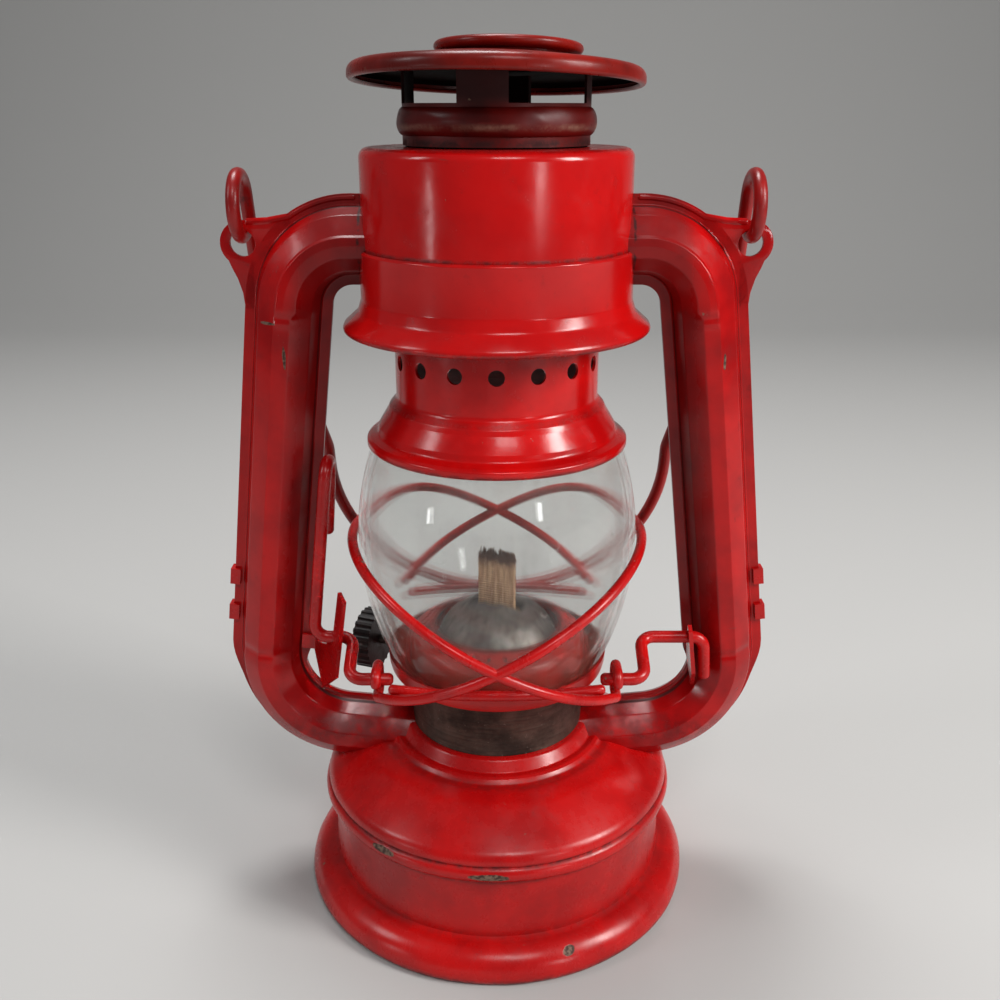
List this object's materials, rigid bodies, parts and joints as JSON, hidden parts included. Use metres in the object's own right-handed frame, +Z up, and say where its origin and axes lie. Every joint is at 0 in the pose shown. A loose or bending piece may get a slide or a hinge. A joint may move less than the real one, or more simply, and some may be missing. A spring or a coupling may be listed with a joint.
{
  "type": "hurricane lantern",
  "caption": "Tubular wick lantern: round fuel tank, two side air tubes, lifting glass globe in a wire guard, sprung chimney with hood, burner with thumb wheel, and a swinging bail.",
  "frame": {"origin": "Middle of the foot, on the table", "axes": "+Z up; -Y is the front, where the guard's eyes and crank pins are; +X is the viewer's right from the front; the bail hangs behind, at +Y"},
  "size_m": [0.1662, 0.1226, 0.254],
  "materials": {
    "red_enamel": "glossy worn red enamel on pressed sheet",
    "sooted_enamel": "red enamel browned by heat and soot",
    "bare_steel": "bare sheet, scratched and darkened",
    "sooted_steel": "bare sheet with soot",
    "wick_brass": "dull brass",
    "wick_cotton": "woven cotton, charred at the top",
    "knob_black": "black, grooved rim",
    "gasket_rubber": "matt",
    "globe_glass": "clear, a little smoky and dusty"
  },
  "bodies": {
    "frame": {"tank_shell": "red_enamel", "tank_dome": "red_enamel", "tank_bottom": "bare_steel", "filler_neck": "red_enamel", "burner_collar": "bare_steel", "burner_base": "bare_steel", "burner_cone": "sooted_steel", "wick_tube": "wick_brass", "left_tube_front": "red_enamel", "left_tube_rear": "red_enamel", "right_tube_front": "red_enamel", "right_tube_rear": "red_enamel", "seam_clips": "red_enamel", "left_bracket": "red_enamel", "right_bracket": "red_enamel", "chamber_top": "red_enamel", "chamber_skirt": "red_enamel", "chimney_spring": "bare_steel"},
    "globe_frame": {"globe_plate": "red_enamel", "guard_hoop_left": "red_enamel", "guard_hoop_right": "red_enamel", "guard_base": "red_enamel", "globe": "globe_glass"},
    "chimney": {"perforated_collar": "red_enamel", "flue_tube": "sooted_enamel", "chimney_neck": "sooted_enamel", "hood": "sooted_enamel", "crown_ring": "sooted_enamel"},
    "lever": {"lift_lever": "red_enamel"},
    "link": {"lift_link": "red_enamel"},
    "bail_wire": {"bail": "red_enamel"},
    "wick_drive": {"wick_knob": "knob_black", "wick_spindle": "bare_steel", "wick_spurs": "wick_brass"},
    "wick_strip": {"wick": "wick_cotton"},
    "cap_seal": {"cap_gasket": "gasket_rubber"},
    "cap": {"filler_cap": "red_enamel"}
  },
  "joints": [
    {"name": "globe_lever", "type": "hinge", "parent": "frame", "child": "lever", "pos_m": [0, -0.012, 0.08709], "axis": [-1, 0, 0], "range_deg": [0, 45]},
    {"name": "link_swing", "type": "hinge", "parent": "frame", "child": "link", "pos_m": [0, -0.012, 0.08709], "axis": [-1, 0, 0], "range_deg": [0, 45]},
    {"name": "globe_rise", "type": "slide", "parent": "frame", "child": "globe_frame", "axis": [0, 0, 1], "range_m": [0, 0.01224], "deforming": ["chimney_spring"]},
    {"name": "chimney_lift", "type": "slide", "parent": "globe_frame", "child": "chimney", "axis": [0, 0, 1], "range_m": [0, 0.012], "stiffness_N_per_m": 150, "springref_m": -0.01, "deforming": ["chimney_spring"]},
    {"name": "bail_swing", "type": "hinge", "parent": "frame", "child": "bail_wire", "pos_m": [0, 0, 0.21185], "axis": [1, 0, 0], "range_deg": [0, 235]},
    {"name": "wick_turn", "type": "hinge", "parent": "frame", "child": "wick_drive", "pos_m": [0.00185, 0.00507, 0.0698], "axis": [-0.9397, 0.342, 0], "range_deg": [-171, 114]},
    {"name": "wick_rise", "type": "slide", "parent": "frame", "child": "wick_strip", "axis": [0, 0, 1], "range_m": [-0.012, 0.008]},
    {"name": "cap_rise", "type": "slide", "parent": "frame", "child": "cap_seal", "axis": [0, 0, 1], "range_m": [0, 0.0041]},
    {"name": "cap_turn", "type": "hinge", "parent": "cap_seal", "child": "cap", "pos_m": [0, 0.0435, 0.0578], "axis": [0, 0, 1], "range_deg": [0, 720]}
  ],
  "couplings": [
    {"joint": "globe_lever", "follows": "globe_rise", "rad_per_m": 64.135},
    {"joint": "link_swing", "follows": "globe_rise", "rad_per_m": 64.135},
    {"joint": "wick_rise", "follows": "wick_turn", "m_per_rad": 0.004},
    {"joint": "cap_rise", "follows": "cap_turn", "m_per_rad": 0.00032}
  ]
}
